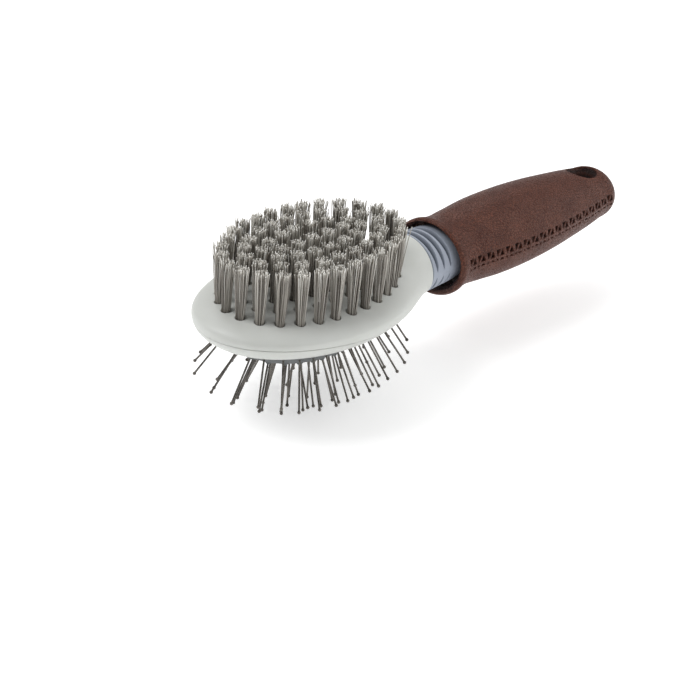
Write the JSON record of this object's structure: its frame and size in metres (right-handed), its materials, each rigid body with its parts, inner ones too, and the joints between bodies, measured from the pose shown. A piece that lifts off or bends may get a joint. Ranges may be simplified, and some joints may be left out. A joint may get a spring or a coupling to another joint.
{
  "type": "double-sided bristle brush",
  "caption": "Hand brush for a pet's coat: nylon tufts on one side of an oval head, ball-tipped pins in a sprung rubber cushion on the other, ribbed neck and soft grip.",
  "frame": {"origin": "under the middle of the brush's box, at the height of the lowest ball tip", "axes": "+X along the brush to the end of the handle, +Z to the bristle side, Y across the head"},
  "size_m": [0.204, 0.0596, 0.0582],
  "materials": {
    "shell": "satin light grey moulded plastic",
    "cushion": "matt grey rubber",
    "inner_plastic": "plain moulded plastic",
    "collar": "soft blue-grey elastomer",
    "grip": "brown elastomer with a leather grain",
    "bristle": "warm grey nylon filament",
    "pin": "drawn steel wire with ball tips"
  },
  "bodies": {
    "brush_body": {"upper_shell": "shell", "lower_shell": "shell", "cushion_rim": "cushion", "cushion_retainer": "inner_plastic", "neck_collar": "collar", "handle_core": "inner_plastic", "grip_sleeve": "grip", "bristle_bank_1": "bristle", "bristle_bank_2": "bristle", "bristle_bank_3": "bristle", "bristle_bank_4": "bristle", "bristle_bank_5": "bristle", "bristle_bank_6": "bristle", "bristle_bank_7": "bristle", "bristle_bank_8": "bristle", "bristle_bank_9": "bristle"},
    "pin_pad": {"cushion_dome": "cushion"},
    "pin_row_1": {"pin_row_1": "pin"},
    "pin_row_2": {"pin_row_2": "pin"},
    "pin_row_3": {"pin_row_3": "pin"},
    "pin_row_4": {"pin_row_4": "pin"},
    "pin_row_5": {"pin_row_5": "pin"},
    "pin_row_6": {"pin_row_6": "pin"},
    "pin_row_7": {"pin_row_7": "pin"},
    "pin_row_8": {"pin_row_8": "pin"},
    "pin_row_9": {"pin_row_9": "pin"},
    "pin_row_10": {"pin_row_10": "pin"},
    "pin_row_11": {"pin_row_11": "pin"},
    "pin_row_12": {"pin_row_12": "pin"},
    "pin_row_13": {"pin_row_13": "pin"}
  },
  "joints": [
    {"name": "pad_press", "type": "slide", "parent": "brush_body", "child": "pin_pad", "axis": [0, 0, 1], "range_m": [0, 0.002], "stiffness_N_per_m": 1500},
    {"name": "pin_row_1_rock", "type": "hinge", "parent": "pin_pad", "child": "pin_row_1", "pos_m": [-0.08701, 0, 0.0265], "axis": [0, 1, 0], "range_deg": [-6, 6], "stiffness_Nm_per_rad": 0.36},
    {"name": "pin_row_2_rock", "type": "hinge", "parent": "pin_pad", "child": "pin_row_2", "pos_m": [-0.08226, 0, 0.02481], "axis": [0, 1, 0], "range_deg": [-6, 6], "stiffness_Nm_per_rad": 0.45},
    {"name": "pin_row_3_rock", "type": "hinge", "parent": "pin_pad", "child": "pin_row_3", "pos_m": [-0.07751, 0, 0.02358], "axis": [0, 1, 0], "range_deg": [-6, 6], "stiffness_Nm_per_rad": 0.54},
    {"name": "pin_row_4_rock", "type": "hinge", "parent": "pin_pad", "child": "pin_row_4", "pos_m": [-0.07276, 0, 0.02271], "axis": [0, 1, 0], "range_deg": [-6, 6], "stiffness_Nm_per_rad": 0.63},
    {"name": "pin_row_5_rock", "type": "hinge", "parent": "pin_pad", "child": "pin_row_5", "pos_m": [-0.06801, 0, 0.02211], "axis": [0, 1, 0], "range_deg": [-6, 6], "stiffness_Nm_per_rad": 0.72},
    {"name": "pin_row_6_rock", "type": "hinge", "parent": "pin_pad", "child": "pin_row_6", "pos_m": [-0.06326, 0, 0.02176], "axis": [0, 1, 0], "range_deg": [-6, 6], "stiffness_Nm_per_rad": 0.63},
    {"name": "pin_row_7_rock", "type": "hinge", "parent": "pin_pad", "child": "pin_row_7", "pos_m": [-0.05851, 0, 0.02165], "axis": [0, 1, 0], "range_deg": [-6, 6], "stiffness_Nm_per_rad": 0.72},
    {"name": "pin_row_8_rock", "type": "hinge", "parent": "pin_pad", "child": "pin_row_8", "pos_m": [-0.05376, 0, 0.02176], "axis": [0, 1, 0], "range_deg": [-6, 6], "stiffness_Nm_per_rad": 0.63},
    {"name": "pin_row_9_rock", "type": "hinge", "parent": "pin_pad", "child": "pin_row_9", "pos_m": [-0.04901, 0, 0.02211], "axis": [0, 1, 0], "range_deg": [-6, 6], "stiffness_Nm_per_rad": 0.72},
    {"name": "pin_row_10_rock", "type": "hinge", "parent": "pin_pad", "child": "pin_row_10", "pos_m": [-0.04426, 0, 0.02271], "axis": [0, 1, 0], "range_deg": [-6, 6], "stiffness_Nm_per_rad": 0.63},
    {"name": "pin_row_11_rock", "type": "hinge", "parent": "pin_pad", "child": "pin_row_11", "pos_m": [-0.03951, 0, 0.02358], "axis": [0, 1, 0], "range_deg": [-6, 6], "stiffness_Nm_per_rad": 0.54},
    {"name": "pin_row_12_rock", "type": "hinge", "parent": "pin_pad", "child": "pin_row_12", "pos_m": [-0.03476, 0, 0.02481], "axis": [0, 1, 0], "range_deg": [-6, 6], "stiffness_Nm_per_rad": 0.45},
    {"name": "pin_row_13_rock", "type": "hinge", "parent": "pin_pad", "child": "pin_row_13", "pos_m": [-0.03001, 0, 0.0265], "axis": [0, 1, 0], "range_deg": [-6, 6], "stiffness_Nm_per_rad": 0.36}
  ]
}
